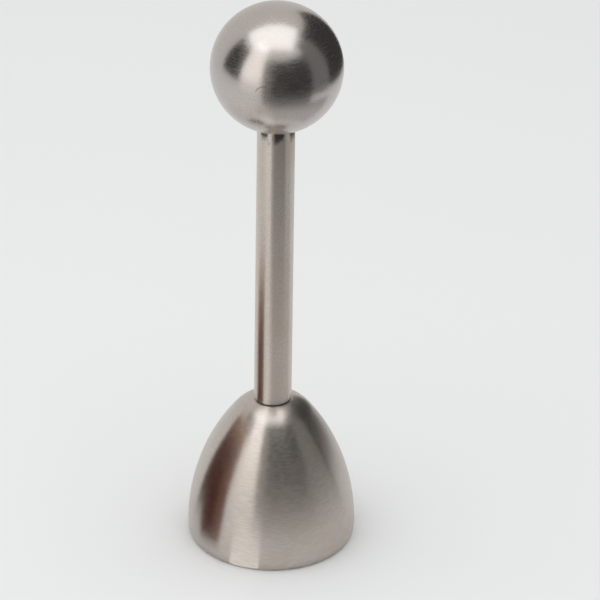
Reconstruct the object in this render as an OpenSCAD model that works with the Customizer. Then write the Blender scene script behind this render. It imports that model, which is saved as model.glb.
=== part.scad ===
// Spring-loaded egg topper: a bell-shaped cup, a tube handle that slides on a guide rod, and a ball grip.
// Pulling the ball up squeezes the spring inside the tube. Let go, the tube snaps down onto the cup,
// and the blow at the cup's rim cracks a clean ring into the shell.
// Millimetres, +Z up along the tool. The origin is the centre of the rim, on the surface it stands on.

/* [Bell cup] */
// Widest diameter of the bell
bell_d = 35.6; // [35:0.1:38]
// Height above the rim of the flat seat that the handle lands on
bell_h = 32.9; // [31:0.1:34]
// Height of the widest place above the rim
belly_z = 2.4; // [2:0.1:3]
// Radius of the long side curve
side_r = 45; // [44:0.5:47]
// Radius of the curve that turns the lip inwards
lip_r = 5; // [4.5:0.1:7]
// Radius of the dome between the side and the seat
dome_r = 9; // [8:0.5:10]
// Thickness of the bell's wall
bell_wall = 1.2; // [1:0.1:1.4]
// Thickness of the bell under its crown
roof_t = 1.6; // [1.4:0.1:2]
// Rounding of the rim's outer edge
rim_round = 0.3; // [0.2:0.05:0.4]
// Width of the flat land that the rim stands on
rim_land = 0.5; // [0.4:0.1:0.7]

/* [Handle tube] */
// Outer diameter of the tube
tube_d = 8; // [7.8:0.1:8.4]
// Thickness of the tube's wall
tube_wall = 0.6; // [0.5:0.05:0.65]
// Dark gap between the seat and the tube's foot, filled by the bush flange
foot_gap = 0.25; // [0.2:0.05:0.5]
// How far the tube reaches into the ball
tube_in_ball = 5.5; // [4:0.5:6]
// How far the handle can be pulled up
travel = 22; // [18:1:22]

/* [Ball grip] */
// Outer diameter of the ball
ball_d = 28; // [26:0.5:30]
// Height of the ball's centre above the rim
ball_z = 113.3; // [113:0.1:116]
// Thickness of the two ball shells
ball_wall = 1.2; // [0.8:0.1:1.5]

/* [Guide rod and fasteners] */
// Diameter of the guide rod
rod_d = 4; // [3.8:0.1:4.1]
// Diameter of the threaded ends of the rod
thread_d = 3; // [2.9:0.1:3.1]
// Width of the hexagon nuts across their flats
nut_af = 5.5; // [5.3:0.1:5.6]
// Height of the nut inside the bell
nut_h = 2.4; // [2:0.1:2.6]
// Thickness of the plain washers
washer_t = 0.5; // [0.4:0.1:0.7]
// Radial play of pieces that slide or turn on each other
play = 0.06; // [0.03:0.01:0.09]

/* [Spring] */
// Wire thickness of the spring
wire_d = 0.7; // [0.6:0.05:0.75]
// Mean diameter of the coil
coil_d = 5.4; // [5.2:0.05:5.6]
// Working turns of the spring
coil_turns = 18; // [14:1:19]

/* [Hidden] */
$fn = 96;
big = 200;
eps = 1;

// Handle tube
rod_r = rod_d / 2;
tube_r = tube_d / 2;
bore_r = tube_r - tube_wall;
tube_z = bell_h + foot_gap;
foot_break = 0.25;
flange_r = tube_r - 0.2;
bush_h = 9;
bush_top_z = bell_h + bush_h;
foot_washer_r = bore_r - 0.15;

// Bell: lip and side meet where both are upright, so their centres lie on one level
bell_r = bell_d / 2;
side_c = [bell_r - side_r, belly_z];
lip_c = [bell_r - lip_r, belly_z];

// The dome touches the side from within and goes through the seat's edge
seat = [tube_r + 0.1, bell_h];
seat_far = norm(seat - side_c);
dome_far = side_r - dome_r;
dome_turn = acos((pow(seat_far, 2) + pow(dome_far, 2) - pow(dome_r, 2)) / (2 * seat_far * dome_far));
dome_a = atan2(seat.y - side_c.y, seat.x - side_c.x) - dome_turn;
dome_c = side_c + dome_far * [cos(dome_a), sin(dome_a)];

// Rim: a small round between the lip and the flat land, and a bevel on the land's inner side
rim_a = asin((belly_z - rim_round) / (lip_r - rim_round));
rim_c = lip_c + (lip_r - rim_round) * [cos(rim_a), -sin(rim_a)];
land_r = rim_c.x - rim_land;
bevel_h = 0.45;
bevel_a = asin((belly_z - bevel_h) / (lip_r - bell_wall));
roof_z = bell_h - roof_t;

// Fasteners below the crown
spigot_hole_r = thread_d / 2 + 0.1;
bell_washer_r = 4.5;
lock_washer_r = 3;
lock_washer_t = 0.8;
lock_gap = 0.8;
washer_z = roof_z - washer_t;
lock_z = washer_z - lock_washer_t;
nut_z = lock_z - nut_h;
rod_foot_z = nut_z - 1;
edge = 0.3;

// Spring between the washer on the bush and the guide washer on the rod, with closed end turns
end_turns = 1.5;
all_turns = coil_turns + 2 * end_turns;
solid_h = (all_turns + 1) * wire_d;
spring_z = bush_top_z + washer_t;
spring_h = travel + solid_h + 2;
spring_top_z = spring_z + spring_h;
coil_pitch = (spring_h - wire_d - 2 * end_turns * wire_d) / coil_turns;
coil_steps = 10;
wire_sides = 6;

// Rod head
guide_washer_t = 0.8;
head_nut_z = spring_top_z + guide_washer_t;
collar_r = 2.4;
collar_h = 1.2;
rod_top_z = head_nut_z + nut_h + collar_h + 0.6;

// Ball and what is inside it
ball_r = ball_d / 2;
ball_foot_z = ball_z - ball_r;
tube_top_z = ball_foot_z + tube_in_ball;
plug_z = rod_top_z + 4;
stud_r = 2;
stud_z = plug_z + 2;
boss_r = 6.2;
boss_top_z = tube_top_z + 4;
stud_top_z = boss_top_z + 1;

// ---------------------------------------------------------------- outlines and small helpers

// Points along an arc round c, without the first one, because the outline is already there
function arc_points(c, r, from, to, steps) =
    [for (i = [1:steps]) let (a = from + (to - from) * i / steps) c + r * [cos(a), sin(a)]];

function reversed(list) = [for (i = [len(list) - 1:-1:0]) list[i]];

// Face of the bell's wall from its lip up to the hole: lip curve, side curve, dome, flat top
function wall_points(inset, lip_a, top) = concat(
    arc_points(lip_c, lip_r - inset, -lip_a, 0, 8),
    arc_points(side_c, side_r - inset, 0, dome_a, 36),
    arc_points(dome_c, dome_r - inset, dome_a, asin((top - dome_c.y) / (dome_r - inset)), 12),
    [[spigot_hole_r, top]]);

// Outline of the bell: flat land, outer edge of the rim, outside, then back down the inside to the bevel
function bell_outline() = concat(
    [[land_r, 0], [rim_c.x, 0]],
    arc_points(rim_c, rim_round, -90, -rim_a, 4),
    wall_points(0, rim_a, bell_h),
    reversed(wall_points(bell_wall, bevel_a, roof_z)),
    [lip_c + (lip_r - bell_wall) * [cos(bevel_a), -sin(bevel_a)]]);

// Ring with a flat top and bottom, from z to z + h
module ring(outer, inner, z, h) {
    translate([0, 0, z]) difference() {
        cylinder(r = outer, h = h);
        translate([0, 0, -eps]) cylinder(r = inner, h = h + 2 * eps);
    }
}

// Round bar from z to z + h with its ends chamfered by cut
module bar(r, z, h, cut) {
    translate([0, 0, z]) cylinder(r1 = r - cut, r2 = r, h = cut);
    translate([0, 0, z + cut]) cylinder(r = r, h = h - 2 * cut);
    translate([0, 0, z + h - cut]) cylinder(r1 = r, r2 = r - cut, h = cut);
}

// Hexagon nut on the rod's thread, standing at z
module nut(z) {
    translate([0, 0, z]) difference() {
        cylinder(d = nut_af / cos(30), h = nut_h, $fn = 6);
        translate([0, 0, -eps]) cylinder(d = thread_d, h = nut_h + 2 * eps);
    }
}

// Half of the ball's hollow shell: side is 1 for the upper half and -1 for the lower half
module ball_half(side) {
    translate([0, 0, ball_z]) intersection() {
        difference() {
            sphere(r = ball_r);
            sphere(r = ball_r - ball_wall);
        }
        translate([0, 0, side * big / 2]) cube(big, center = true);
    }
}

// ---------------------------------------------------------------- cup and what stays with it

// Pressed bell: turned-in lip, long side curve, dome with a flat seat, bevelled rim, hole for the rod
module bell_cup() {
    color([0.72, 0.70, 0.67]) rotate_extrude() polygon(bell_outline());
}

// Ground rod: its shoulder stands on the crown, its threaded foot goes through the cup
module guide_rod() {
    color([0.80, 0.80, 0.79]) {
        bar(thread_d / 2, rod_foot_z, bell_h - rod_foot_z + edge, edge);
        bar(rod_r, bell_h, spring_top_z - bell_h, edge);
        bar(thread_d / 2, spring_top_z - edge, rod_top_z - spring_top_z + edge, edge);
    }
}

module bell_washer() {
    color([0.78, 0.78, 0.77]) ring(bell_washer_r, spigot_hole_r, washer_z, washer_t);
}

// Split spring washer that keeps the nut tight through the blows
module bell_lock_washer() {
    color([0.66, 0.66, 0.65]) difference() {
        ring(lock_washer_r, spigot_hole_r, lock_z, lock_washer_t);
        translate([0, -lock_gap / 2, lock_z - eps]) rotate([0, 0, 20])
            cube([bell_washer_r, lock_gap, lock_washer_t + 2 * eps]);
    }
}

module bell_nut() {
    color([0.78, 0.78, 0.77]) nut(nut_z);
}

// Washer that holds the spring's top end and guides the rod's head in the tube
module rod_guide_washer() {
    color([0.78, 0.78, 0.77]) ring(bore_r - play, spigot_hole_r, spring_top_z, guide_washer_t);
}

// Locking nut: hexagon with a round collar on top
module rod_lock_nut() {
    color([0.78, 0.78, 0.77]) {
        nut(head_nut_z);
        ring(collar_r, thread_d / 2, head_nut_z + nut_h, collar_h);
    }
}

// Height of the wire's centre after t turns: closed turns at both ends, even pitch between them
function coil_z(t) = spring_z + wire_d / 2
    + (t < end_turns ? t * wire_d
       : t < end_turns + coil_turns ? end_turns * wire_d + (t - end_turns) * coil_pitch
       : end_turns * wire_d + coil_turns * coil_pitch + (t - end_turns - coil_turns) * wire_d);

// Point on the wire's surface: turn t, and angle a round the wire
function wire_point(t, a) = [
    (coil_d / 2 + wire_d / 2 * cos(a)) * cos(360 * t),
    (coil_d / 2 + wire_d / 2 * cos(a)) * sin(360 * t),
    coil_z(t) + wire_d / 2 * sin(a)];

// Compression spring, a swept wire with flat ends
module spring() {
    rings = all_turns * coil_steps;
    points = [for (i = [0:rings], k = [0:wire_sides - 1])
        wire_point(i / coil_steps, 360 * k / wire_sides)];
    sides = [for (i = [0:rings - 1], k = [0:wire_sides - 1]) let (n = (k + 1) % wire_sides)
        [i * wire_sides + k, (i + 1) * wire_sides + k, (i + 1) * wire_sides + n, i * wire_sides + n]];
    start_cap = [for (k = [0:wire_sides - 1]) k];
    end_cap = [for (k = [wire_sides - 1:-1:0]) rings * wire_sides + k];
    color([0.60, 0.60, 0.60]) polyhedron(points, concat(sides, [start_cap, end_cap]));
}

// ---------------------------------------------------------------- handle

// Thrust washer between the spring and the bush
module spring_foot_washer() {
    color([0.78, 0.78, 0.77]) ring(foot_washer_r, rod_r + play, bush_top_z, washer_t);
}

// Flanged bush pressed into the tube's foot. It runs on the rod, and its flange is the dark line there
module foot_bush() {
    color([0.10, 0.10, 0.10]) difference() {
        union() {
            translate([0, 0, bell_h]) cylinder(r = flange_r, h = foot_gap);
            translate([0, 0, bell_h]) cylinder(r = bore_r, h = bush_h);
        }
        translate([0, 0, bell_h - eps]) cylinder(r = rod_r + play, h = bush_h + 2 * eps);
    }
}

// Drawn tube with a broken edge at its foot
module tube() {
    tube_h = tube_top_z - tube_z;
    color([0.72, 0.70, 0.67]) translate([0, 0, tube_z]) difference() {
        union() {
            cylinder(r1 = tube_r - foot_break, r2 = tube_r, h = foot_break);
            translate([0, 0, foot_break]) cylinder(r = tube_r, h = tube_h - foot_break);
        }
        translate([0, 0, -eps]) cylinder(r = bore_r, h = tube_h + 2 * eps);
    }
}

// Plug pressed into the tube's top, tapped for the stud
module tube_top_plug() {
    color([0.66, 0.66, 0.65]) ring(bore_r, stud_r, plug_z, tube_top_z - plug_z);
}

// Headless screw that draws the ball's boss down onto the tube
module ball_stud() {
    color([0.60, 0.60, 0.60]) bar(stud_r, stud_z, stud_top_z - stud_z, edge);
}

// Turned boss welded inside the lower shell: a socket for the tube and a tapped hole for the stud
module ball_boss() {
    color([0.66, 0.66, 0.65]) difference() {
        intersection() {
            translate([0, 0, ball_foot_z]) cylinder(r = boss_r, h = boss_top_z - ball_foot_z);
            translate([0, 0, ball_z]) sphere(r = ball_r - ball_wall);
        }
        translate([0, 0, ball_foot_z]) cylinder(r = tube_r, h = tube_top_z - ball_foot_z);
        translate([0, 0, ball_foot_z]) cylinder(r = stud_r, h = boss_top_z);
    }
}

module ball_lower_shell() {
    color([0.72, 0.70, 0.67]) difference() {
        ball_half(-1);
        translate([0, 0, ball_foot_z - eps]) cylinder(r = tube_r, h = ball_r);
    }
}

module ball_upper_shell() {
    color([0.74, 0.72, 0.69]) ball_half(1);
}

bell_cup();
guide_rod();
bell_washer();
bell_lock_washer();
bell_nut();
rod_guide_washer();
rod_lock_nut();
spring();
spring_foot_washer();
foot_bush();
tube();
tube_top_plug();
ball_stud();
ball_boss();
ball_lower_shell();
ball_upper_shell();
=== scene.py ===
# %% [markdown]
# # A spring-loaded egg topper
# The steel bell is stood over the end of the shell. The ball on top is pulled up with its tube, a spring
# inside the tube is squeezed, and when the ball is let go the tube snaps back and knocks on the bell.
# The whole tool is turned, drawn or pressed round one axis, so most of this lesson is about the lathe:
# a half outline, spun once round. The rest is about brushed steel, which is mostly what the eye sees.

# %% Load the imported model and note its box
import math

import bmesh
import bpy
from mathutils import Matrix, Vector


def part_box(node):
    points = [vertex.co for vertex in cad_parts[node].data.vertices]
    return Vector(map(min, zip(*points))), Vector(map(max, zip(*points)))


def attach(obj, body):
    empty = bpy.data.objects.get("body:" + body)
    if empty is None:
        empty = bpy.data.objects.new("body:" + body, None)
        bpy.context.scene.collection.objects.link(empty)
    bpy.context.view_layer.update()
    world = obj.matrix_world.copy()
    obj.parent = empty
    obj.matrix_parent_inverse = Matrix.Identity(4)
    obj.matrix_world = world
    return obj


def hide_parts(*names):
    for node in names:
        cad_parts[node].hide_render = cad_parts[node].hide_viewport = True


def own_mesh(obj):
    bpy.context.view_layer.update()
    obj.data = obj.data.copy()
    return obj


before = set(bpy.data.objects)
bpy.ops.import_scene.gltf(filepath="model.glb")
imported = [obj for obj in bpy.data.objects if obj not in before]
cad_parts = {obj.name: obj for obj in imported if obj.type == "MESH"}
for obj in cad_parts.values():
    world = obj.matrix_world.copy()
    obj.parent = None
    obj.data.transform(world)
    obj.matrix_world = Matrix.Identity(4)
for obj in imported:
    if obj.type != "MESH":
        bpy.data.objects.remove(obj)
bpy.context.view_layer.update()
MM = 0.001
MICRON = 0.001 * MM


# %% [markdown]
# ## Reading sizes from the frame
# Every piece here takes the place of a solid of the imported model, so its height and width are read from
# that solid's box. Only what a box can't tell, such as the radius of a curve, is written as a number.

# %% Heights and radii from the boxes
def low_z(node):
    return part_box(node)[0].z


def high_z(node):
    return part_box(node)[1].z


def radius(node):
    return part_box(node)[1].x


seat_z = high_z("bell_cup")
belly_r = radius("bell_cup")
rod_r = 2.0 * MM
thread_r = 1.5 * MM
spring_low, spring_high = low_z("spring"), high_z("spring")
tube_r = radius("tube")
tube_low, tube_high = low_z("tube"), high_z("tube")
bore_r = radius("tube_top_plug")
ball_r = radius("ball_upper_shell")
ball_z = low_z("ball_upper_shell")
ball_low = low_z("ball_lower_shell")
for name, r in (("bell", belly_r), ("ball", ball_r), ("tube", tube_r)):
    print(name, round(2 * r / MM, 1), "mm across")


# %% [markdown]
# ## The camera
# The photograph was taken with a long lens from about thirty degrees above. A long lens is set up here
# by its field of view: the distance and the number of pixels that one millimetre takes give the lens.
# The tool stands a little left of the middle, so the camera aims beside it, and is rolled by under a degree.

# %% Camera
SENSOR = 36.0
FRAME_PIXELS = 600
PIXELS_PER_MM = 4.733
CAMERA_DISTANCE = 1.922
ELEVATION = math.radians(30.72)
ROLL = math.radians(0.834)
AIM_POINT = Vector((0, 0, 60 * MM))
AIM_PIXEL = (274.13, 287.28)

back = Vector((0, -math.cos(ELEVATION), math.sin(ELEVATION)))
turned = (-back).to_track_quat("-Z", "Y").to_matrix() @ Matrix.Rotation(ROLL, 3, "Z")
pixel = MM / PIXELS_PER_MM
middle = FRAME_PIXELS / 2
beside = turned @ Vector(((middle - AIM_PIXEL[0]) * pixel, (AIM_PIXEL[1] - middle) * pixel, 0))
camera_at = AIM_POINT + back * CAMERA_DISTANCE
look = (AIM_POINT + beside - camera_at).normalized()

camera_data = bpy.data.cameras.new("camera")
camera_data.sensor_width = SENSOR
camera_data.lens = SENSOR * PIXELS_PER_MM / MM * CAMERA_DISTANCE / FRAME_PIXELS
camera_data.clip_start = 0.05
camera_data.clip_end = 20
camera = bpy.data.objects.new("camera", camera_data)
camera.rotation_mode = "QUATERNION"
camera.location = camera_at
aimed = look.to_track_quat("-Z", "Y").to_matrix()
camera.rotation_quaternion = (aimed @ Matrix.Rotation(ROLL, 3, "Z")).to_quaternion()
bpy.context.scene.collection.objects.link(camera)
bpy.context.scene.camera = camera
bpy.context.scene.view_settings.view_transform = "Standard"
print("lens", round(camera_data.lens), "mm on a", SENSOR, "mm sensor")


# %% [markdown]
# ## The studio
# Polished metal has hardly any colour of its own: it shows the room. The room here is a product
# photographer's table. It has a pale floor, a soft light overhead, a tall strip of light at the front left,
# a pale room all round, and cloths in front of its walls that draw the dark bands down the steel. Papers
# near the tool give its lower parts their brown and pale bands. The strip, the room, the cloths and the
# papers are there for reflections alone, so they are hidden from the camera and cast no shadow. Most of them
# are a short line, upright or flat, swept round the tool by `spin`, and some of them get brighter or darker
# on their way up or out.

# %% Helpers for the stage
def glowing(name, level, tint=(1.0, 0.985, 0.97)):
    """Plain glow of one brightness, for what the steel reflects."""
    material = bpy.data.materials.new(name)
    material.use_nodes = True
    nodes = material.node_tree.nodes
    nodes.clear()
    glow = nodes.new("ShaderNodeEmission")
    glow.inputs["Color"].default_value = (*tint, 1)
    glow.inputs["Strength"].default_value = level
    surface = nodes.new("ShaderNodeOutputMaterial").inputs["Surface"]
    material.node_tree.links.new(glow.outputs[0], surface)
    return material


def graded(material, way, start, end, end_level):
    """Changes a glow's level with height ("up") or with the distance from the tool ("out")."""
    tree = material.node_tree
    glow = tree.nodes["Emission"]
    place = tree.nodes.new("ShaderNodeTexCoord").outputs["Object"]
    if way == "up":
        height = tree.nodes.new("ShaderNodeSeparateXYZ")
        tree.links.new(place, height.inputs[0])
        along = height.outputs["Z"]
    else:
        distance = tree.nodes.new("ShaderNodeVectorMath")
        distance.operation = "LENGTH"
        tree.links.new(place, distance.inputs[0])
        along = distance.outputs["Value"]
    ramp = tree.nodes.new("ShaderNodeMapRange")
    level = glow.inputs["Strength"].default_value
    for label, value in {"From Min": start, "From Max": end, "To Min": level, "To Max": end_level}.items():
        ramp.inputs[label].default_value = value
    tree.links.new(along, ramp.inputs["Value"])
    tree.links.new(ramp.outputs["Result"], glow.inputs["Strength"])


def stage_object(name, bm, material):
    """Turns a bmesh into a part of the set."""
    mesh = bpy.data.meshes.new(name)
    bm.to_mesh(mesh)
    bm.free()
    mesh.materials.append(material)
    obj = bpy.data.objects.new(name, mesh)
    bpy.context.scene.collection.objects.link(obj)
    return obj


def reflection_only(obj):
    """Keeps an object out of the picture and the shadows, so that it shows only in reflections."""
    obj.visible_camera = False
    obj.visible_diffuse = False
    obj.visible_shadow = False
    obj.visible_transmission = False


def card(name, line, start, end, material, steps=24, sink=0.0):
    """A line of (radius, height) points swept from one angle to another. 0 is the front, minus is left.
    A card that sinks gets lower on its way, which slopes its top edge."""
    bm = bmesh.new()
    turn = math.radians(start)
    points = [bm.verts.new((r * math.sin(turn), -r * math.cos(turn), z)) for r, z in line]
    edges = [bm.edges.new(pair) for pair in zip(points, points[1:])]
    bmesh.ops.spin(bm, geom=points + edges, cent=(0, 0, 0), axis=(0, 0, 1), dvec=(0, 0, -sink / steps),
                   angle=math.radians(end - start), steps=steps, use_merge=False)
    reflection_only(stage_object(name, bm, material))


def upright(r, low, high):
    """Line for a card that stands at one radius."""
    return (r, low), (r, high)


def lying(z, near, far):
    """Line for a card that lies at one height."""
    return (near, z), (far, z)


def flat_paper(name, corners, material, lift=0.4 * MM):
    """A sheet of paper on the table, from its corners in millimetres seen from above."""
    bm = bmesh.new()
    bm.faces.new([bm.verts.new((x * MM, y * MM, lift)) for x, y in corners])
    reflection_only(stage_object(name, bm, material))


# %% Floor
FLOOR_TONE = 0.84
FLOOR_HALF = 3.0

pale_table = bpy.data.materials.new("pale_table")
pale_table.use_nodes = True
table_shader = pale_table.node_tree.nodes["Principled BSDF"]
table_shader.inputs["Base Color"].default_value = (FLOOR_TONE, FLOOR_TONE, FLOOR_TONE, 1)
table_shader.inputs["Roughness"].default_value = 0.9
table_shader.inputs["Specular IOR Level"].default_value = 0.1
table_bm = bmesh.new()
bmesh.ops.create_grid(table_bm, x_segments=1, y_segments=1, size=FLOOR_HALF)
stage_object("table", table_bm, pale_table)
print("table", 2 * FLOOR_HALF, "m wide")

# %% Room, cloths, papers and light strip
BROWN_R, BROWN_HIGH, BROWN_TOP = 0.040, 0.036, 0.050
ROOM_R, ROOM_HIGH = 0.50, 1.10

black_cloth = glowing("black_cloth", 0.045)
grey_cloth = glowing("grey_cloth", 0.22)
front_cloth = glowing("front_cloth", 0.28)
graded(front_cloth, "up", start=0.0, end=0.07, end_level=0.05)
front_paper = glowing("front_paper", 0.60)
graded(front_paper, "out", start=0.095, end=0.150, end_level=0.28)
brown_paper = glowing("brown_paper", 0.070, (1.0, 0.19, 0.09))
brown_edge = glowing("brown_edge", 0.16, (1.0, 0.42, 0.29))
brown_fade = glowing("brown_fade", 0.16, (1.0, 0.62, 0.45))
graded(brown_fade, "up", start=BROWN_HIGH, end=BROWN_TOP, end_level=0.72)
room_paint = glowing("room_paint", 0.76)
strip_glow = glowing("strip_glow", 0.99)
graded(strip_glow, "up", start=0.07, end=0.14, end_level=1.52)
white_paper = glowing("white_paper", 1.12)
graded(white_paper, "out", start=0.035, end=0.08, end_level=0.68)

card("room", ((ROOM_R, 0.0), (ROOM_R, ROOM_HIGH), (0.0, ROOM_HIGH)), -180, 180, room_paint, steps=48)
card("cloth_front_left", upright(0.150, 0.0, 0.235), -24, -8, grey_cloth)
card("cloth_front", upright(0.150, 0.0, 0.235), -8, 60, front_cloth)
card("cloth_front_right", upright(0.22, 0.0, 0.42), 60, 95, grey_cloth)
card("cloth_right", upright(0.24, 0.02, 0.50), 95, 160, black_cloth, sink=0.26)
card("cloth_left", upright(0.24, 0.085, 0.32), -102, -63, black_cloth)
card("strip_front_left", upright(0.31, 0.0, 0.62), -62, -24, strip_glow)
card("brown_side", upright(BROWN_R, 0.0, BROWN_HIGH), -103, -69, brown_paper)
card("brown_side_edge", upright(BROWN_R, 0.0, BROWN_HIGH), -69, -56, brown_edge)
card("brown_side_top", upright(BROWN_R, BROWN_HIGH, BROWN_TOP), -106, -57, brown_fade)
card("brown_top", lying(BROWN_TOP, 0.030, 0.060), -120, -50, room_paint)
card("paper_front", lying(0.2 * MM, 0.045, 0.150), -20, 105, front_paper)
flat_paper("brown_base", ((-20, -13), (-22.5, -6.5), (-30, -2.5), (-40, 2), (-39, -11)), brown_paper)
flat_paper("brown_base_edge", ((-19, -15.5), (-20, -13), (-39, -11), (-34, -21)), brown_edge)
flat_paper("white_sheet", ((-2.6, -17.3), (-9, -15.1), (-96, -90), (-35, -150)), white_paper)
staged = [obj.name for obj in bpy.context.scene.collection.objects if obj.type == "MESH"]
print("stage pieces", len(staged), "and", len(bpy.data.materials), "materials")

# %% Soft light overhead
PANEL_WIDE, PANEL_DEEP = 0.575, 0.37
PANEL_AT = (-0.0725, -0.065, 0.52)
PANEL_LEVEL = 1.1
panel_data = bpy.data.lights.new("overhead_panel", "AREA")
panel_data.shape = "RECTANGLE"
panel_data.size = PANEL_WIDE
panel_data.size_y = PANEL_DEEP
panel_data.energy = PANEL_LEVEL * math.pi * PANEL_WIDE * PANEL_DEEP
panel_data.color = (0.95, 0.985, 1.0)
panel = bpy.data.objects.new("overhead_panel", panel_data)
panel.location = PANEL_AT
bpy.context.scene.collection.objects.link(panel)
print("panel", round(panel_data.energy, 2), "watts")

# %% Background: white where it is seen or mirrored, and a softer light on the table
AMBIENT_LEVEL = 0.80
WHITE_LEVEL = 1.0
world = bpy.data.worlds.new("studio")
world.use_nodes = True
bpy.context.scene.world = world
studio_nodes, studio_links = world.node_tree.nodes, world.node_tree.links
studio_nodes.clear()
ambient = studio_nodes.new("ShaderNodeBackground")
ambient.inputs["Strength"].default_value = AMBIENT_LEVEL
white = studio_nodes.new("ShaderNodeBackground")
white.inputs["Strength"].default_value = WHITE_LEVEL
for background in (ambient, white):
    background.inputs["Color"].default_value = (1, 1, 1, 1)
rays = studio_nodes.new("ShaderNodeLightPath")
seen = studio_nodes.new("ShaderNodeMath")
seen.operation = "MAXIMUM"
choice = studio_nodes.new("ShaderNodeMixShader")
sky = studio_nodes.new("ShaderNodeOutputWorld")
studio_links.new(rays.outputs["Is Camera Ray"], seen.inputs[0])
studio_links.new(rays.outputs["Is Glossy Ray"], seen.inputs[1])
studio_links.new(seen.outputs[0], choice.inputs[0])
studio_links.new(ambient.outputs[0], choice.inputs[1])
studio_links.new(white.outputs[0], choice.inputs[2])
studio_links.new(choice.outputs[0], sky.inputs["Surface"])
print("ambient light", AMBIENT_LEVEL)


# %% [markdown]
# ## A lathe for every turned piece
# A real lathe takes a bar and cuts one outline all the way round. `bmesh.ops.spin` does the same with a
# line of vertices. The corners of a real piece are never knife-sharp, so each corner of the outline can
# carry a small round, and that round is what catches the light. A weighted-normal modifier then keeps the
# flats flat beside those rounds.

# %% Outline helpers, in metres, as (radius, height) points
def arc(centre, r, start, end, steps):
    """Points along a circle's arc, from one angle to another, both ends included."""
    angles = [start + (end - start) * i / steps for i in range(steps + 1)]
    return [(centre[0] + r * math.cos(a), centre[1] + r * math.sin(a)) for a in angles]


def turned_outline(corners, steps=4):
    """Closed outline from corners (r, z, round), each corner cut by a smooth curve of that size."""
    outline = []
    for i, (r, z, cut) in enumerate(corners):
        here = Vector((r, z))
        if cut == 0:
            outline.append((r, z))
            continue
        before = Vector(corners[i - 1][:2])
        after = Vector(corners[(i + 1) % len(corners)][:2])
        start = here + (before - here).normalized() * cut
        end = here + (after - here).normalized() * cut
        for k in range(steps + 1):
            t = k / steps
            point = start * (1 - t) ** 2 + here * 2 * t * (1 - t) + end * t ** 2
            outline.append(tuple(point))
    return outline


# %% Lathe and finishing helpers
CREASE = math.radians(38)


def lathe(outline, steps=96, closed=True):
    """Spins an outline once round the tool's axis and returns the bmesh."""
    bm = bmesh.new()
    line = [bm.verts.new((r, 0, z)) for r, z in outline]
    edges = [bm.edges.new(pair) for pair in zip(line, line[1:])]
    if closed:
        edges.append(bm.edges.new((line[-1], line[0])))
    bmesh.ops.spin(bm, geom=line + edges, cent=(0, 0, 0), axis=(0, 0, 1), dvec=(0, 0, 0),
                   angle=2 * math.pi, steps=steps, use_merge=True)
    bmesh.ops.remove_doubles(bm, verts=bm.verts, dist=MICRON)
    bmesh.ops.recalc_face_normals(bm, faces=bm.faces)
    return bm


def piece(name, bm, node, body):
    """Turns a bmesh into a finished piece that stands for a CAD node and moves with a body."""
    for face in bm.faces:
        face.smooth = True
    for edge in bm.edges:
        edge.smooth = edge.calc_face_angle(0) < CREASE
    mesh = bpy.data.meshes.new(name)
    bm.to_mesh(mesh)
    bm.free()
    obj = bpy.data.objects.new(name, mesh)
    bpy.context.scene.collection.objects.link(obj)
    flat = obj.modifiers.new("flat_faces_stay_flat", "WEIGHTED_NORMAL")
    flat.keep_sharp = True
    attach(obj, body)
    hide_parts(node)
    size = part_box(node)
    print(name, len(mesh.polygons), "faces, for", node, [round((b - a) / MM, 2) for a, b in zip(*size)])
    return obj


# %% [markdown]
# ## The bell
# The cup is pressed from thick sheet. Its side is one long curve that stands upright at the belly. Below it
# a tighter curve turns the lip inwards, and above it a dome leads to a small flat seat, which the handle
# lands on. The blow goes into the shell through the rim, so the rim is ground to a narrow flat land with a
# bevel on its inner side. Curves that flow into each other share a line through both centres, which is how
# each centre and each angle below is found.

# %% Bell curves
BELLY_Z = 2.4 * MM
SIDE_R = 45 * MM
LIP_R = 5 * MM
DOME_R = 9 * MM
SEAT_R = tube_r + 0.1 * MM
WALL = 1.2 * MM
LIP_STEPS, SIDE_STEPS, DOME_STEPS = 10, 72, 20
ROOF = 1.6 * MM
RIM_ROUND = 0.3 * MM
LAND = 0.5 * MM
BEVEL_H = 0.45 * MM
HOLE_R = 1.6 * MM
LAND_EASE = 0.05 * MM
roof_z = seat_z - ROOF

side_c = Vector((belly_r - SIDE_R, BELLY_Z))
lip_c = Vector((belly_r - LIP_R, BELLY_Z))
seat_from_side = Vector((SEAT_R, seat_z)) - side_c
dome_far = SIDE_R - DOME_R
dome_turn = math.acos((seat_from_side.length ** 2 + dome_far ** 2 - DOME_R ** 2)
                      / (2 * seat_from_side.length * dome_far))
dome_a = math.atan2(seat_from_side.y, seat_from_side.x) - dome_turn
dome_c = side_c + dome_far * Vector((math.cos(dome_a), math.sin(dome_a)))
rim_a = math.asin((BELLY_Z - RIM_ROUND) / (LIP_R - RIM_ROUND))
rim_c = lip_c + (LIP_R - RIM_ROUND) * Vector((math.cos(rim_a), -math.sin(rim_a)))
bevel_a = math.asin((BELLY_Z - BEVEL_H) / (LIP_R - WALL))
print("side meets dome at", round(math.degrees(dome_a), 1), "degrees")


# %% Bell
def bell_wall(inset, lip_a, top):
    """One face of the wall from the lip up to the hole, moved inwards by inset."""
    top_a = math.asin((top - dome_c.y) / (DOME_R - inset))
    return (arc(lip_c, LIP_R - inset, -lip_a, 0, LIP_STEPS)
            + arc(side_c, SIDE_R - inset, 0, dome_a, SIDE_STEPS)[1:]
            + arc(dome_c, DOME_R - inset, dome_a, top_a, DOME_STEPS)[1:] + [(HOLE_R, top)])


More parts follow.
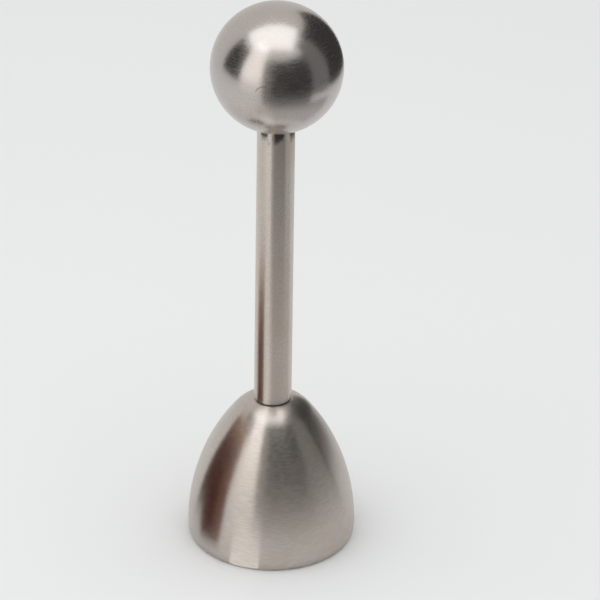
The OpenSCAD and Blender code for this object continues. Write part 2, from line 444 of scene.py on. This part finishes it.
land_edge = rim_c.x - LAND
bell_outline = (
    [(land_edge, 0)]
    + arc(rim_c, RIM_ROUND, -math.pi / 2, -rim_a, 6)
    + bell_wall(0, rim_a, seat_z)[1:]
    + bell_wall(WALL, bevel_a, roof_z)[::-1]
    + [(land_edge - LAND_EASE, 0.4 * LAND_EASE)])
bell = piece("bell", lathe(bell_outline, steps=192), "bell_cup", "cup")


# %% [markdown]
# ## The guide rod
# A ground bar whose shoulder stands on the bell's seat. Its two ends are turned down and threaded. A thread
# is a helix, so after the plain bar is spun, each ring of vertices is moved in and out by how far it is
# along the pitch and round the bar. That keeps one closed mesh, where a separate coil of teeth would cut it.

# %% Thread cutting
PITCH = 0.5 * MM
THREAD_DEPTH = 0.27 * MM
ON_CREST = 0.01 * MM
RINGS_PER_PITCH = 8
GROOVE_SLOPE = 1.35
CREST_FLAT = 0.12


def stretch(low, high, pitch=PITCH):
    """Heights close enough together for a thread between low and high."""
    count = max(2, round((high - low) / pitch * RINGS_PER_PITCH))
    return [low + (high - low) * i / count for i in range(count + 1)]


def cut_thread(bm, low, high, crest, pitch=PITCH, depth=THREAD_DEPTH):
    """Cuts a helical groove into the vertices that lie at the crest radius between two heights."""
    for v in bm.verts:
        r = math.hypot(v.co.x, v.co.y)
        if abs(r - crest) > ON_CREST or not low - MICRON < v.co.z < high + MICRON:
            continue
        turn = (v.co.z / pitch - math.atan2(v.co.y, v.co.x) / (2 * math.pi)) % 1
        groove = min(1, max(0, GROOVE_SLOPE * (1 - abs(2 * turn - 1)) - CREST_FLAT))
        fade = min(1, (v.co.z - low) / pitch, (high - v.co.z) / pitch)
        scale = (r - depth * groove * max(0, fade)) / r
        v.co.x *= scale
        v.co.y *= scale


# %% Rod
END_CUT = 0.35 * MM
ROD_EDGE = 0.2 * MM
rod_low, rod_high = low_z("guide_rod"), high_z("guide_rod")
shoulder_z = spring_high

rod_outline = (
    [(0, rod_low), (thread_r - END_CUT, rod_low)]
    + [(thread_r, z) for z in stretch(rod_low + END_CUT, roof_z)]
    + [(thread_r, seat_z), (rod_r - ROD_EDGE, seat_z), (rod_r, seat_z + ROD_EDGE)]
    + [(rod_r, shoulder_z - ROD_EDGE), (rod_r - ROD_EDGE, shoulder_z), (thread_r, shoulder_z)]
    + [(thread_r, z) for z in stretch(shoulder_z + ROD_EDGE, rod_high - END_CUT)]
    + [(thread_r - END_CUT, rod_high), (0, rod_high)])
rod_bm = lathe(rod_outline, steps=64, closed=False)
cut_thread(rod_bm, rod_low + END_CUT, roof_z, thread_r)
cut_thread(rod_bm, shoulder_z + ROD_EDGE, rod_high - END_CUT, thread_r)
rod = piece("guide_bar", rod_bm, "guide_rod", "cup")


# %% [markdown]
# ## Washers
# Plain washers are punched: the punch leaves one edge rounded and the other nearly sharp. The lock washer
# is a turn of square wire, cut and slightly open, so it is spun through less than a full circle and its
# two ends are closed.

# %% Washers
def washer(name, node, body, inner):
    """Punched washer with the height and the outside of its node."""
    low, high, outer = low_z(node), high_z(node), radius(node)
    edge = 0.3 * (high - low)
    corners = [(inner, low, 0.1 * edge), (outer, low, 0.25 * edge), (outer, high, edge), (inner, high, edge)]
    return piece(name, lathe(turned_outline(corners)), node, body)


washer_inside_bell = washer("washer_inside_bell", "bell_washer", "cup", HOLE_R)
washer_rod_head = washer("washer_rod_head", "rod_guide_washer", "cup", HOLE_R)
sliding_r = rod_r + 0.06 * MM
washer_under_spring = washer("washer_under_spring", "spring_foot_washer", "thrust_washer", sliding_r)

# %% Split lock washer
LOCK_GAP = math.radians(17)
LOCK_TURN = math.radians(25)
LOCK_R = 3.0 * MM
LOCK_ROUND = 0.12 * MM
lock_low, lock_high = low_z("bell_lock_washer"), high_z("bell_lock_washer")
lock_bm = bmesh.new()
lock_corners = [(r, z, LOCK_ROUND) for r, z in
                ((HOLE_R, lock_low), (LOCK_R, lock_low), (LOCK_R, lock_high), (HOLE_R, lock_high))]
lock_line = [lock_bm.verts.new((r, 0, z)) for r, z in turned_outline(lock_corners, steps=3)]
lock_edges = [lock_bm.edges.new((v, lock_line[i - 1])) for i, v in enumerate(lock_line)]
cut_side = Matrix.Rotation(LOCK_TURN + LOCK_GAP / 2, 3, "Z")
bmesh.ops.rotate(lock_bm, verts=lock_line, cent=(0, 0, 0), matrix=cut_side)
bmesh.ops.spin(lock_bm, geom=lock_line + lock_edges, cent=(0, 0, 0), axis=(0, 0, 1), dvec=(0, 0, 0),
               angle=2 * math.pi - LOCK_GAP, steps=80, use_merge=False)
bmesh.ops.holes_fill(lock_bm, edges=lock_bm.edges, sides=0)
bmesh.ops.recalc_face_normals(lock_bm, faces=lock_bm.faces)
lock_washer = piece("lock_washer", lock_bm, "bell_lock_washer", "cup")


# %% [markdown]
# ## Nuts
# A hexagon nut starts as a turned blank too. Its outer vertices are pushed out to the hexagon, and the top
# and bottom edges are lowered by a thirty-degree cone, which draws the curved line on every flat that a
# real chamfered nut has.

# %% Nuts
NUT_HALF = 2.75 * MM
NUT_H = 2.4 * MM
NUT_CORNER = NUT_HALF / math.cos(math.pi / 6) * 0.99
NUT_FACE = NUT_HALF * 0.97
LEAD_IN = 0.25 * MM
COLLAR_R = 2.4 * MM
COLLAR_ROUND = 0.4 * MM


def hexagon_r(angle):
    """How far a hexagon reaches from its middle at an angle, with its six corners a little blunt."""
    from_flat = angle % (math.pi / 3) - math.pi / 6
    return min(NUT_HALF / math.cos(from_flat), NUT_CORNER)


def nut(low, high, collar_top=None):
    """Hexagon nut between two heights, with a round collar on top if it is a locking nut."""
    end = collar_top or high
    outline = [(thread_r, low + LEAD_IN), (thread_r + LEAD_IN, low), (NUT_FACE, low), (NUT_HALF, low),
               (NUT_HALF, high), (NUT_FACE, high)]
    if collar_top:
        middle = (COLLAR_R - COLLAR_ROUND, collar_top - COLLAR_ROUND)
        outline += [(COLLAR_R, high)] + arc(middle, COLLAR_ROUND, 0, math.pi / 2, 5)
    outline += [(thread_r + LEAD_IN, end), (thread_r, end - LEAD_IN)]
    bm = lathe(outline, steps=96)
    for v in bm.verts:
        if abs(math.hypot(v.co.x, v.co.y) - NUT_HALF) > MICRON:
            continue
        r = hexagon_r(math.atan2(v.co.y, v.co.x))
        drop = (r - NUT_FACE) * math.tan(math.radians(30))
        v.co.x *= r / NUT_HALF
        v.co.y *= r / NUT_HALF
        v.co.z += drop if v.co.z < (low + high) / 2 else -drop
    return bm


nut_inside_bell = piece("nut_inside_bell", nut(low_z("bell_nut"), high_z("bell_nut")),
                        "bell_nut", "cup")
head_low = low_z("rod_lock_nut")
lock_nut = piece("lock_nut", nut(head_low, head_low + NUT_H, high_z("rod_lock_nut")),
                 "rod_lock_nut", "cup")


# %% [markdown]
# ## The spring
# A compression spring ends in closed turns that are ground flat, so that it stands straight. Spinning a
# small circle with a rise at each step winds it: a turn and a half closed, eighteen open turns, and a turn
# and a half closed again. A cut at each end grinds it. When the handle is lifted the spring gets shorter.

# %% Spring
WIRE_R = 0.35 * MM
GROUND_OFF = 0.3
WIRE_SIDES = 14
COIL_R = 2.7 * MM
END_TURNS = 1.5
COIL_TURNS = 18
STEPS_PER_TURN = 32
wire_low = spring_low + WIRE_R * (1 - GROUND_OFF)
wire_high = spring_high - WIRE_R * (1 - GROUND_OFF)
closed_rise = 2 * WIRE_R
open_rise = (wire_high - wire_low - 2 * END_TURNS * closed_rise) / COIL_TURNS

spring_bm = bmesh.new()
wire_start = Matrix.Translation((COIL_R, 0, wire_low)) @ Matrix.Rotation(math.pi / 2, 4, "X")
wire = bmesh.ops.create_circle(spring_bm, segments=WIRE_SIDES, radius=WIRE_R, cap_ends=False,
                               matrix=wire_start)
front = wire["verts"] + list({e for v in wire["verts"] for e in v.link_edges})
for turns, rise in ((END_TURNS, closed_rise), (COIL_TURNS, open_rise), (END_TURNS, closed_rise)):
    steps = round(turns * STEPS_PER_TURN)
    made = bmesh.ops.spin(spring_bm, geom=front, cent=(0, 0, 0), axis=(0, 0, 1), steps=steps,
                          dvec=(0, 0, rise / STEPS_PER_TURN), angle=2 * math.pi * turns, use_merge=False)
    front = made["geom_last"]
bmesh.ops.holes_fill(spring_bm, edges=spring_bm.edges, sides=0)
for seat, out in ((spring_low, -1), (spring_high, 1)):
    everything = spring_bm.verts[:] + spring_bm.edges[:] + spring_bm.faces[:]
    bmesh.ops.bisect_plane(spring_bm, geom=everything, plane_co=(0, 0, seat), plane_no=(0, 0, out),
                           clear_outer=True, dist=1e-9)
    bmesh.ops.holes_fill(spring_bm, edges=[e for e in spring_bm.edges if e.is_boundary], sides=0)
bmesh.ops.recalc_face_normals(spring_bm, faces=spring_bm.faces)
wound = [v.co.z / MM for v in spring_bm.verts]
print("spring wound from", round(min(wound), 2), "to", round(max(wound), 2))
coil = piece("coil_spring", spring_bm, "spring", "cup")
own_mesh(coil)


# %% [markdown]
# ## The bush
# A black bush is pressed into the tube's foot and runs on the rod. Its flange lies between the tube and the
# seat, a little inside the tube's outside, and shows as the thin dark line there.

# %% Bush
bush_low, bush_high, flange_r = low_z("foot_bush"), high_z("foot_bush"), radius("foot_bush")
bush_corners = [(sliding_r, bush_low, 0.2 * MM), (flange_r, bush_low, 0.06 * MM),
                (flange_r, tube_low, 0.04 * MM), (bore_r, tube_low, 0),
                (bore_r, bush_high, 0.3 * MM), (sliding_r, bush_high, 0.2 * MM)]
bush_bm = lathe(turned_outline(bush_corners), steps=128)
bush = piece("black_bush", bush_bm, "foot_bush", "handle")


# %% [markdown]
# ## The tube
# Thin drawn tube. The cut foot is broken by hand with a file, which leaves a small rounded edge that shines
# as a thin bright line above the dark one.

# %% Tube
FOOT_BREAK = 0.25 * MM
tube_corners = [(bore_r, tube_low, 0.1 * MM), (tube_r, tube_low, FOOT_BREAK), (tube_r, tube_high, 0.1 * MM),
                (bore_r, tube_high, 0.1 * MM)]
tube_bm = lathe(turned_outline(tube_corners, steps=5), steps=128)
tube = piece("handle_tube", tube_bm, "tube", "handle")


# %% [markdown]
# ## Plug, stud and boss
# Nobody sees these three, but they hold the ball: a plug pressed into the tube, a headless screw in it, and
# a boss inside the ball that the screw pulls down onto the tube's end.

# %% Plug, stud and boss
STUD_R = 2.0 * MM
STUD_PITCH = 0.7 * MM
STUD_GROOVE = 0.38 * MM
plug_low = low_z("tube_top_plug")
plug_corners = [(STUD_R, plug_low, 0.3 * MM), (bore_r, plug_low, 0.4 * MM), (bore_r, tube_high, 0.2 * MM),
                (STUD_R, tube_high, 0.3 * MM)]
plug = piece("tube_plug", lathe(turned_outline(plug_corners)), "tube_top_plug", "handle")

stud_low, stud_high = low_z("ball_stud"), high_z("ball_stud")
SOCKET_R = 1.0 * MM
SOCKET_DEEP = 2.0 * MM
SOCKET_POINT = 0.4 * MM
stud_outline = (
    [(0, stud_low), (STUD_R - END_CUT, stud_low)]
    + [(STUD_R, z) for z in stretch(stud_low + END_CUT, stud_high - END_CUT, STUD_PITCH)]
    + [(STUD_R - END_CUT, stud_high), (SOCKET_R, stud_high), (SOCKET_R, stud_high - SOCKET_DEEP),
       (0, stud_high - SOCKET_DEEP - SOCKET_POINT)])
stud_bm = lathe(stud_outline, steps=64, closed=False)
cut_thread(stud_bm, stud_low + END_CUT, stud_high - END_CUT, STUD_R, STUD_PITCH, STUD_GROOVE)
stud = piece("headless_screw", stud_bm, "ball_stud", "handle")

SHELL = 1.2 * MM
BOSS_EDGE = 0.3 * MM
boss_r, boss_high = radius("ball_boss"), high_z("ball_boss")
inner_r = ball_r - SHELL
boss_outline = (
    arc((0, ball_z), inner_r, -math.acos(boss_r / inner_r), -math.acos(tube_r / inner_r), 8)
    + [(tube_r, tube_high), (STUD_R, tube_high)]
    + [(STUD_R, boss_high - BOSS_EDGE), (STUD_R + BOSS_EDGE, boss_high)]
    + [(boss_r - BOSS_EDGE, boss_high), (boss_r, boss_high - BOSS_EDGE)])
boss = piece("ball_socket", lathe(boss_outline), "ball_boss", "handle")


# %% [markdown]
# ## The ball
# Two pressed half shells, welded round the middle and polished until the weld is gone. A sphere's outline
# is an arc, so each half is a quarter circle outside and a smaller one inside. A very thin band of faces
# beside the weld keeps the shading the same on both sides, so that no line shows.

# %% Ball shells
WELD_BAND = math.radians(0.3)


def shell_outline(side, hole):
    """Outer quarter circle from the weld to the pole or the hole, then back along the inside."""
    outer = arc((0, ball_z), ball_r, side * WELD_BAND, side * math.acos(hole / ball_r), 64)
    inner = arc((0, ball_z), inner_r, side * math.acos(hole / inner_r), side * WELD_BAND, 40)
    return [(ball_r, ball_z)] + outer + inner + [(inner_r, ball_z)]


BALL_STEPS = 160
upper_bm = lathe(shell_outline(1, 0), steps=BALL_STEPS)
lower_bm = lathe(shell_outline(-1, tube_r), steps=BALL_STEPS)
upper = piece("ball_upper", upper_bm, "ball_upper_shell", "handle")
lower = piece("ball_lower", lower_bm, "ball_lower_shell", "handle")


# %% [markdown]
# ## Brushed steel
# Satin steel is polished with a belt or a mop that leaves very fine scratches, all in one direction. Up
# close each scratch is a groove, and from afar they smear the reflections across the grain. Three things
# make that here: an anisotropic shine, a very fine relief of the grain, and small changes of colour and
# roughness from stroke to stroke. The strokes of every piece follow the axis it was turned on, so one node
# group makes them all. It turns Object coordinates into a place round the axis and a place along it, and
# noise stretched round the axis is grain.

# %% Node helpers
def new_group(name, inputs, outputs):
    """An empty shader group with named value inputs and outputs, and its two end nodes."""
    group = bpy.data.node_groups.new(name, "ShaderNodeTree")
    for label, start in inputs.items():
        socket = group.interface.new_socket(name=label, in_out="INPUT", socket_type="NodeSocketFloat")
        socket.default_value = start
    for label in outputs:
        group.interface.new_socket(name=label, in_out="OUTPUT", socket_type="NodeSocketFloat")
    return group, group.nodes.new("NodeGroupInput").outputs, group.nodes.new("NodeGroupOutput").inputs


def plug_in(tree, socket, value):
    """Sets a socket to a number, or links another node's output to it."""
    if isinstance(value, (int, float)):
        socket.default_value = value
    else:
        tree.links.new(value, socket)


def maths(tree, operation, *values):
    """Output of a Math node."""
    node = tree.nodes.new("ShaderNodeMath")
    node.operation = operation
    for socket, value in zip(node.inputs, values):
        plug_in(tree, socket, value)
    return node.outputs[0]


def noise(tree, vector, scale, detail=2.0, roughness=0.5):
    """Grey value of a Noise Texture."""
    node = tree.nodes.new("ShaderNodeTexNoise")
    for label, value in (("Vector", vector), ("Scale", scale), ("Detail", detail), ("Roughness", roughness)):
        plug_in(tree, node.inputs[label], value)
    return node.outputs["Fac"]


def vector_maths(tree, operation, *values):
    """Vector Math node, its inputs set to numbers or linked."""
    node = tree.nodes.new("ShaderNodeVectorMath")
    node.operation = operation
    for socket, value in zip(node.inputs, values):
        if isinstance(value, tuple):
            socket.default_value = value
        else:
            tree.links.new(value, socket)
    return node


def remap(tree, value, low, high, to_low, to_high):
    """Value moved smoothly from one range to another, and held at its ends."""
    node = tree.nodes.new("ShaderNodeMapRange")
    node.interpolation_type = "SMOOTHSTEP"
    ends = (("Value", value), ("From Min", low), ("From Max", high), ("To Min", to_low), ("To Max", to_high))
    for label, end in ends:
        plug_in(tree, node.inputs[label], end)
    return node.outputs["Result"]


def mixed(tree, factor, first, second):
    """Colour between two colours, each a triple or another node's output."""
    node = tree.nodes.new("ShaderNodeMix")
    node.data_type = "RGBA"
    plug_in(tree, node.inputs["Factor"], factor)
    for label, colour in (("A", first), ("B", second)):
        if isinstance(colour, (tuple, list)):
            node.inputs[label].default_value = (*colour, 1)
        else:
            tree.links.new(colour, node.inputs[label])
    return node.outputs["Result"]


def joined(tree, x, y, z):
    """Vector made of three values."""
    node = tree.nodes.new("ShaderNodeCombineXYZ")
    for socket, value in zip(node.inputs, (x, y, z)):
        plug_in(tree, socket, value)
    return node.outputs[0]


def place_on_piece(tree):
    """Object coordinates, and their x, y and z."""
    place = tree.nodes.new("ShaderNodeTexCoord").outputs["Object"]
    split = tree.nodes.new("ShaderNodeSeparateXYZ")
    tree.links.new(place, split.inputs[0])
    return place, split.outputs


# %% Grain: lines round the axis, or along it
AXIS_R = 0.01 * MM
WANDER_SCALE = 420.0
BANDS_PER_LINE = 0.18


def grain_group():
    """Around and Along are how often the noise changes round the axis and along it. Slope lets the lines
    follow a cone, and Wave is how far they wander up and down."""
    group, given, result = new_group(
        "grain_round_axis", {"Around": 3.0, "Along": 3000.0, "Slope": 1.0, "Wave": 0.0}, ("Grain", "Bands"))
    place, (x, y, z) = place_on_piece(group)
    r_squared = maths(group, "ADD", maths(group, "MULTIPLY", x, x), maths(group, "MULTIPLY", y, y))
    r = maths(group, "MAXIMUM", maths(group, "SQRT", r_squared), AXIS_R)
    across = maths(group, "MULTIPLY", maths(group, "DIVIDE", x, r), given["Around"])
    deep = maths(group, "MULTIPLY", maths(group, "DIVIDE", y, r), given["Around"])
    height = maths(group, "SUBTRACT", z, maths(group, "MULTIPLY", r, given["Slope"]))
    cloudy = maths(group, "SUBTRACT", noise(group, place, WANDER_SCALE), 0.5)
    wander = maths(group, "MULTIPLY", cloudy, given["Wave"])
    along = maths(group, "MULTIPLY", maths(group, "ADD", height, wander), given["Along"])
    fine = noise(group, joined(group, across, deep, along), 1.0, 3.0, 0.6)
    wide = joined(group, across, deep, maths(group, "MULTIPLY", along, BANDS_PER_LINE))
    group.links.new(fine, result["Grain"])
    group.links.new(noise(group, wide, 1.0, 2.0), result["Bands"])
    return group


grain_round_axis = grain_group()
print("grain", len(grain_round_axis.nodes), "nodes")


# %% Handling: soft smudges and one curved scratch, and painted shade in the corner under the ball
SMUDGE_LOW, SMUDGE_HIGH = 0.35, 0.72


def smudge_group():
    """Soft patches where the tool was held, 0 outside them and 1 inside."""
    group, given, result = new_group("handling_smudges", {"Size": 90.0}, ("Smudge",))
    place, _ = place_on_piece(group)
    cloudy = noise(group, place, given["Size"], 3.0)
    group.links.new(remap(group, cloudy, SMUDGE_LOW, SMUDGE_HIGH, 0.0, 1.0), result["Smudge"])
    return group


SCRATCH_AT = (-2.39 * MM, -13.77 * MM, 114.0 * MM)
SCRATCH_R = 2.24 * MM
SCRATCH_WAY = (-0.42, 0.463, 0.779)
SCRATCH_HALF = (0.04 * MM, 0.13 * MM)
SCRATCH_SIDE = (1.55 * MM, 1.95 * MM)


def scratch_group():
    """Part of a ring on the ball: a set distance from one point of it, and on one side of that point."""
    group, _, result = new_group("curved_scratch", {}, ("Mark",))
    place, _ = place_on_piece(group)
    offset = vector_maths(group, "SUBTRACT", place, SCRATCH_AT).outputs["Vector"]
    off_ring = maths(group, "SUBTRACT", vector_maths(group, "LENGTH", offset).outputs["Value"], SCRATCH_R)
    ring = remap(group, maths(group, "ABSOLUTE", off_ring), *SCRATCH_HALF, 1.0, 0.0)
    towards = vector_maths(group, "DOT_PRODUCT", offset, SCRATCH_WAY).outputs["Value"]
    side = remap(group, towards, *SCRATCH_SIDE, 0.0, 1.0)
    group.links.new(maths(group, "MULTIPLY", ring, side), result["Mark"])
    return group


# Painted shade: the tube darkens in patches just below where it meets the ball, standing in for the ball's
# shadow.
PATCHES_ROUND = 7
PATCH_TURN = math.radians(12)
PATCH_RAGGED = 4.0 * MM
PATCH_LOW, PATCH_HIGH = ball_low - 3.6 * MM, ball_low - 1.2 * MM
PATCH_UNEVEN = 3.0
PATCH_EDGE = (-0.8, 0.3)


def painted_shade_group():
    """Painted shade: dark patches on the tube in the corner just under the ball, where the ball shades it."""
    group, _, result = new_group("painted_corner_shade", {}, ("Mark",))
    place, (x, y, z) = place_on_piece(group)
    cloudy = maths(group, "SUBTRACT", noise(group, place, WANDER_SCALE, 3.0), 0.5)
    ragged = maths(group, "ADD", z, maths(group, "MULTIPLY", cloudy, PATCH_RAGGED))
    corner = remap(group, ragged, PATCH_LOW, PATCH_HIGH, 0.0, 1.0)
    turn = maths(group, "SUBTRACT", maths(group, "ARCTAN2", x, maths(group, "MULTIPLY", y, -1)), PATCH_TURN)
    wave = maths(group, "COSINE", maths(group, "MULTIPLY", turn, PATCHES_ROUND))
    uneven_wave = maths(group, "ADD", wave, maths(group, "MULTIPLY", cloudy, PATCH_UNEVEN))
    patch = remap(group, uneven_wave, *PATCH_EDGE, 0.0, 1.0)
    group.links.new(maths(group, "MULTIPLY", corner, patch), result["Mark"])
    return group


# The smudges and the scratch are handling marks; the corner group is painted shade under the ball.
handling_smudges = smudge_group()
curved_scratch = scratch_group()
painted_corner_shade = painted_shade_group()
print("handling groups", [g.name for g in (handling_smudges, curved_scratch, painted_corner_shade)])


# %% A steel from its tone, its gloss and its grain
HANDLED = (1.0, 0.93, 0.82)
# Near-black for marks: the ball's scratch, and painted shade under the ball on the tube.
SCRATCH_AND_SHADE_DARK = (0.02, 0.018, 0.016)
STROKE_LOW, STROKE_HIGH = 0.36, 0.64
STROKE_SHARE = 0.7
SMUDGE_ROUGH = 0.03


def group_node(tree, group, values):
    """Outputs of a node group placed in a material with its own values."""
    node = tree.nodes.new("ShaderNodeGroup")
    node.node_tree = group
    for label, value in values.items():
        plug_in(tree, node.inputs[label], value)
    return node.outputs


def steel(name, tone, rough, grain, relief, spread, contrast=0.05, uneven=0.03, patina=0.25, mix_grain=None,
          mark=None, depth=0.5):
    """Satin steel. Relief is in micrometres. Spread is how much more the shine smears across the grain than
    along it. Contrast and uneven are how much the colour and the roughness change from stroke to stroke,
    and patina is how much warmer the steel is where it was handled. Mix_grain is a second grain and the
    two heights between which it takes over, going down. A mark is a group that darkens by its depth."""
    material = bpy.data.materials.new(name)
    material.use_nodes = True
    tree = material.node_tree
    shader = tree.nodes["Principled BSDF"]
    shader.inputs["Metallic"].default_value = 1.0
    shader.inputs["Anisotropic"].default_value = spread
    shader.inputs["Anisotropic Rotation"].default_value = 0.25
    tangent = tree.nodes.new("ShaderNodeTangent")
    tangent.direction_type = "RADIAL"
    tangent.axis = "Z"
    tree.links.new(tangent.outputs[0], shader.inputs["Tangent"])

    lines = group_node(tree, grain_round_axis, grain)
    fine = lines["Grain"]
    if mix_grain:
        other, low, high = mix_grain
        _, (_, _, z) = place_on_piece(tree)
        other_lines = group_node(tree, grain_round_axis, other)
        blend = remap(tree, z, low, high, 1.0, 0.0)
        change = maths(tree, "MULTIPLY", maths(tree, "SUBTRACT", other_lines["Grain"], fine), blend)
        fine = maths(tree, "ADD", fine, change)

    stroke = remap(tree, fine, STROKE_LOW, STROKE_HIGH, 0.0, 1.0)
    fine_part = maths(tree, "MULTIPLY", stroke, STROKE_SHARE)
    wide_part = maths(tree, "MULTIPLY", lines["Bands"], 1 - STROKE_SHARE)
    shade = maths(tree, "ADD", fine_part, wide_part)
    colour = mixed(tree, shade, [c * (1 - contrast) for c in tone], [c * (1 + contrast) for c in tone])
    smudge = group_node(tree, handling_smudges, {})["Smudge"]
    warm = [c * k for c, k in zip(tone, HANDLED)]
    colour = mixed(tree, maths(tree, "MULTIPLY", smudge, patina), colour, warm)
    # A mark darkens the colour: on the ball a scratch, on the tube painted shade under the ball.
    if mark:
        darkened = maths(tree, "MULTIPLY", group_node(tree, mark, {})["Mark"], depth)
        colour = mixed(tree, darkened, colour, SCRATCH_AND_SHADE_DARK)
    tree.links.new(colour, shader.inputs["Base Color"])

    coarser = maths(tree, "MULTIPLY", maths(tree, "SUBTRACT", stroke, 0.5), uneven)
    smeared = maths(tree, "MULTIPLY", smudge, SMUDGE_ROUGH)
    roughness = maths(tree, "ADD", maths(tree, "ADD", coarser, smeared), rough)
    tree.links.new(roughness, shader.inputs["Roughness"])

    bump = tree.nodes.new("ShaderNodeBump")
    bump.inputs["Distance"].default_value = relief * MICRON
    tree.links.new(fine, bump.inputs["Height"])
    tree.links.new(bump.outputs["Normal"], shader.inputs["Normal"])
    return material


# %% [markdown]
# ## One finish for each piece
# The bell and the tube are brushed round and round. The ball is too on its upper half, and fine lines run
# down towards the tube on its lower half, so its grain changes below the middle. The rod is ground and
# polished, the fasteners are turned bright, and the spring's wire is drawn. The bell and the tube are kept a
# little rougher than the ball, and their strokes more alike in roughness. With smoother and less even strokes
# the bell came out with dark specks.

# %% Finishes
WARM_STEEL = (0.552, 0.506, 0.466)
TUBE_STEEL = (0.620, 0.569, 0.524)
POLISHED_STEEL = (0.526, 0.489, 0.468)
BRIGHT_STEEL = (0.60, 0.60, 0.59)
WIRE_STEEL = (0.36, 0.36, 0.37)

round_bell = {"Around": 8.0, "Along": 3000.0, "Slope": 1.0, "Wave": 0.5 * MM}
round_tube = {"Around": 9.0, "Along": 2800.0, "Slope": 0.0, "Wave": 0.0}
round_ball = {"Around": 5.0, "Along": 2700.0, "Slope": 1.0, "Wave": 0.2 * MM}
down_ball = {"Around": 45.0, "Along": 160.0, "Slope": 1.0, "Wave": 0.0}
round_rod = {"Around": 2.0, "Along": 6000.0, "Slope": 0.0, "Wave": 0.0}
round_small = {"Around": 2.0, "Along": 5000.0, "Slope": 1.0, "Wave": 0.0}

bell_steel = steel("bell_brushed", WARM_STEEL, rough=0.30, grain=round_bell, relief=2, spread=0.80,
                   contrast=0.10, uneven=0.045)
# The tube's mark is painted shade: the dark just under the ball is painted into its colour.
tube_steel = steel("tube_brushed", TUBE_STEEL, rough=0.30, grain=round_tube, relief=2, spread=0.80,
                   contrast=0.12, uneven=0.04, patina=0.5, mark=painted_corner_shade, depth=0.85)
ball_steel = steel("ball_brushed", POLISHED_STEEL, rough=0.24, grain=round_ball, relief=1, spread=0.25,
                   uneven=0.06, mix_grain=(down_ball, ball_z - 5 * MM, ball_z - 1 * MM),
                   mark=curved_scratch, depth=0.6)
rod_steel = steel("rod_ground", BRIGHT_STEEL, rough=0.16, grain=round_rod, relief=1, spread=0.50,
                  contrast=0.03)
turned_steel = steel("fastener_turned", BRIGHT_STEEL, rough=0.26, grain=round_small, relief=2.5,
                     spread=0.60, contrast=0.08)
wire_steel = steel("wire_drawn", WIRE_STEEL, rough=0.34, grain=round_small, relief=1.5, spread=0.0,
                   contrast=0.12)

finishes = {bell: bell_steel, tube: tube_steel, upper: ball_steel, lower: ball_steel,
            rod: rod_steel, coil: wire_steel}
for obj in (washer_inside_bell, washer_rod_head, washer_under_spring, lock_washer, nut_inside_bell, lock_nut,
            plug, stud, boss):
    finishes[obj] = turned_steel
for obj, finish in finishes.items():
    obj.data.materials.append(finish)
    print(obj.name, "is", finish.name)


# %% [markdown]
# ## Black acetal
# The bush is cut from a black plastic bar. It is matt, with the faint rings of the lathe tool on it.

# %% Bush finish
black_acetal = bpy.data.materials.new("acetal_turned")
black_acetal.use_nodes = True
acetal = black_acetal.node_tree
acetal_shader = acetal.nodes["Principled BSDF"]
rings = group_node(acetal, grain_round_axis, {"Around": 1.0, "Along": 9000.0, "Slope": 0.0, "Wave": 0.0})
acetal_colour = mixed(acetal, rings["Bands"], (0.012, 0.012, 0.012), (0.030, 0.030, 0.029))
acetal.links.new(acetal_colour, acetal_shader.inputs["Base Color"])
acetal.links.new(remap(acetal, rings["Grain"], 0.3, 0.7, 0.42, 0.58), acetal_shader.inputs["Roughness"])
acetal_bump = acetal.nodes.new("ShaderNodeBump")
acetal_bump.inputs["Strength"].default_value = 0.3
acetal_bump.inputs["Distance"].default_value = 0.02 * MM
acetal.links.new(rings["Grain"], acetal_bump.inputs["Height"])
acetal.links.new(acetal_bump.outputs["Normal"], acetal_shader.inputs["Normal"])
bush.data.materials.append(black_acetal)
print("bush is", black_acetal.name)
